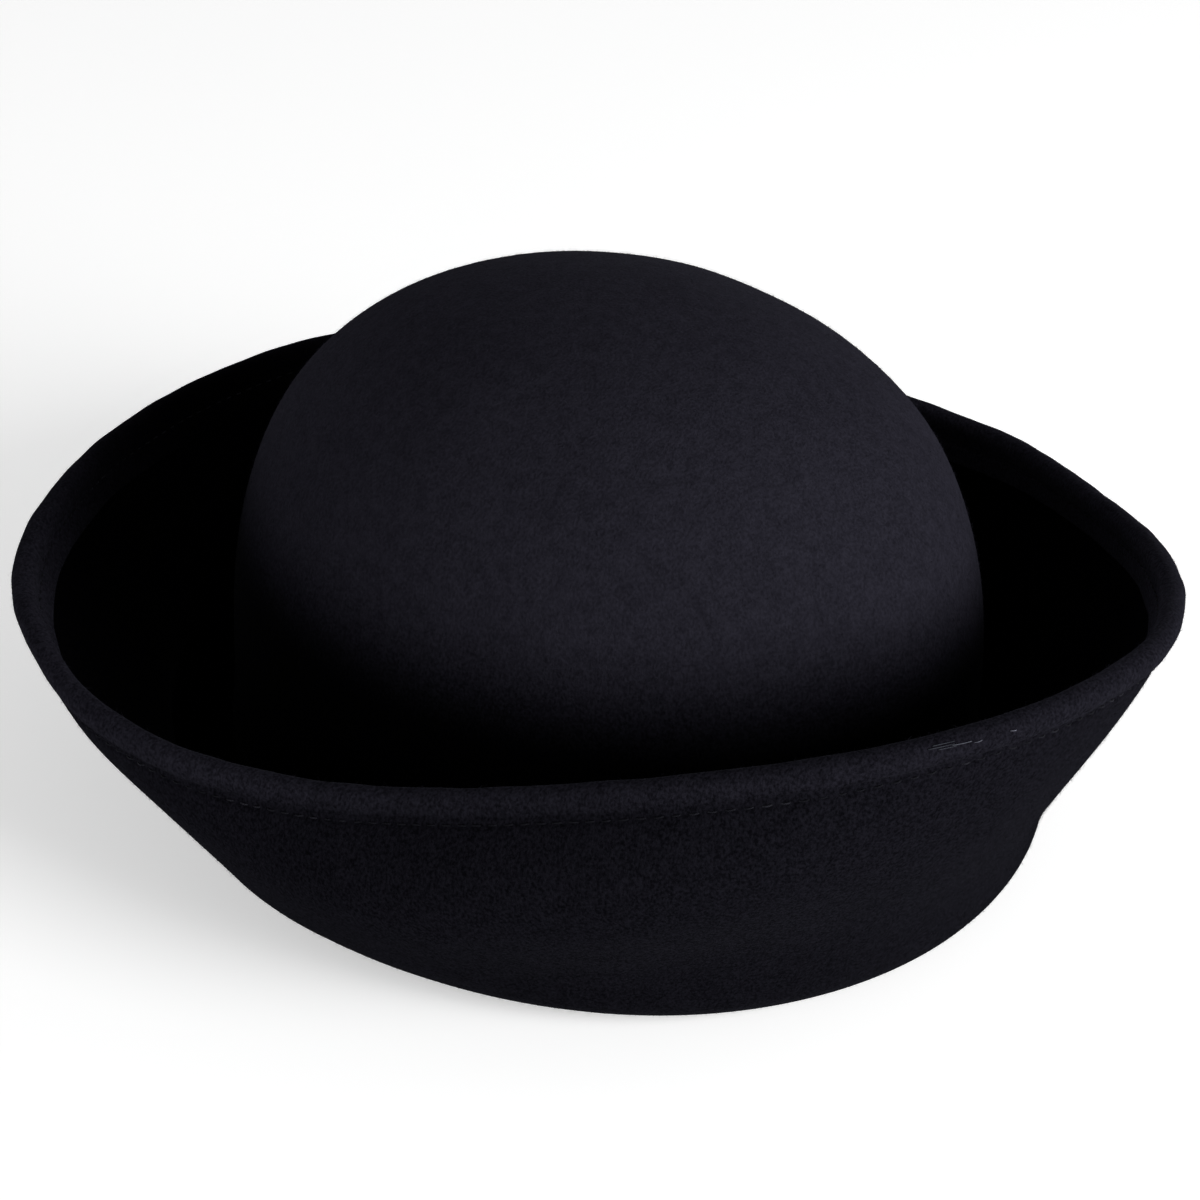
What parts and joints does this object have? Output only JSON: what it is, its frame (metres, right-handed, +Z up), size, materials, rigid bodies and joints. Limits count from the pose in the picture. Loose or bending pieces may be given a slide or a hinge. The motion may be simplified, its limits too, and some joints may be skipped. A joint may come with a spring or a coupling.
{
  "type": "turned-brim felt hat",
  "caption": "Round-crowned wool felt hat with its wired brim turned up all the way round, for a pirate costume.",
  "frame": {"origin": "on the resting plane, under the middle of the hat's bounding box", "axes": "+Z up through the crown, -Y out of the front of the hat, +X across it to the wearer's left"},
  "size_m": [0.2646, 0.3038, 0.1306],
  "materials": {
    "wool_felt": "brushed black wool felt, slightly fuzzy, soft sheen",
    "wire_steel": "bare drawn steel",
    "joiner_brass": "plain crimped tube",
    "sewing_thread": "twisted black polyester thread, faint gloss",
    "grosgrain": "black ribbed grosgrain ribbon",
    "label_tape": "blank woven satin tape"
  },
  "bodies": {
    "root": {"felt_body": "wool_felt", "brim_wire": "wire_steel", "wire_joiner": "joiner_brass", "hem_needle_thread": "sewing_thread", "hem_bobbin_thread": "sewing_thread", "sweatband": "grosgrain", "sweatband_needle_thread": "sewing_thread", "sweatband_bobbin_thread": "sewing_thread", "sweatband_joint_thread": "sewing_thread", "size_label": "label_tape"}
  },
  "joints": []
}
